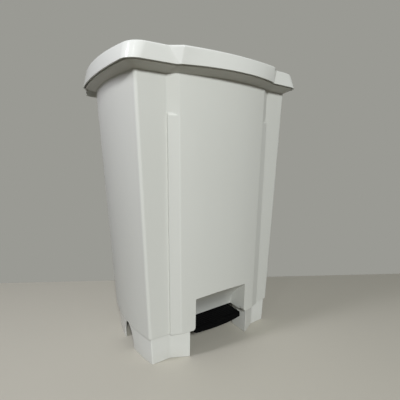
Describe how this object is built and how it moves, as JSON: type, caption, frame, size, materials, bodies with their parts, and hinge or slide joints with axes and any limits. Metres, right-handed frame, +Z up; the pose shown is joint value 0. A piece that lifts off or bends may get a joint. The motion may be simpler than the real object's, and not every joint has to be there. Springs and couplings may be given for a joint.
{
  "type": "pedal trash can",
  "caption": "Tall tapered plastic trash can with a bowed front panel, a hinged overhanging lid and a foot pedal whose rod lifts the lid.",
  "frame": {"origin": "on the floor under the middle of the closed can's outer box", "axes": "+Z up, -Y to the front where the pedal is, +X to the right as seen by someone who stands in front of the can"},
  "size_m": [0.494, 0.4019, 0.693],
  "materials": {
    "body_white": "satin gloss, moulded",
    "base_white": "satin gloss, moulded",
    "lid_white": "satin gloss, moulded",
    "tread_black": "ribbed, matt",
    "guide_nylon": "natural nylon",
    "bush_nylon": "natural nylon",
    "steel": "zinc plated"
  },
  "bodies": {
    "can": {"body_shell": "body_white", "base_plinth": "base_white", "base_screws": "steel", "hinge_pin_left": "steel", "hinge_pin_right": "steel", "hinge_clips": "steel", "pedal_axle": "steel", "axle_clips": "steel", "rod_guide_lower": "guide_nylon", "rod_guide_upper": "guide_nylon", "rod_guide_screws": "steel"},
    "lid": {"lid_shell": "lid_white"},
    "pedal": {"pedal_tread": "tread_black", "pedal_lever": "steel", "tread_screws": "steel", "pivot_bush_left": "bush_nylon", "pivot_bush_right": "bush_nylon"},
    "rod": {"push_rod": "steel", "rod_lower_clip": "steel", "rod_upper_clip": "steel"}
  },
  "joints": [
    {"name": "lid_hinge", "type": "hinge", "parent": "can", "child": "lid", "pos_m": [0, 0.193, 0.655], "axis": [-1, 0, 0], "range_deg": [0, 70]},
    {"name": "rod_slide", "type": "slide", "parent": "can", "child": "rod", "axis": [0, 0, 1], "range_m": [0, 0.04481]},
    {"name": "pedal_pivot", "type": "hinge", "parent": "can", "child": "pedal", "pos_m": [0, 0.01, 0.036], "axis": [1, 0, 0], "range_deg": [0, 16.88]}
  ],
  "couplings": [
    {"joint": "rod_slide", "follows": "lid_hinge", "m_per_rad": 0.03668},
    {"joint": "pedal_pivot", "follows": "lid_hinge", "ratio": 0.24116}
  ]
}
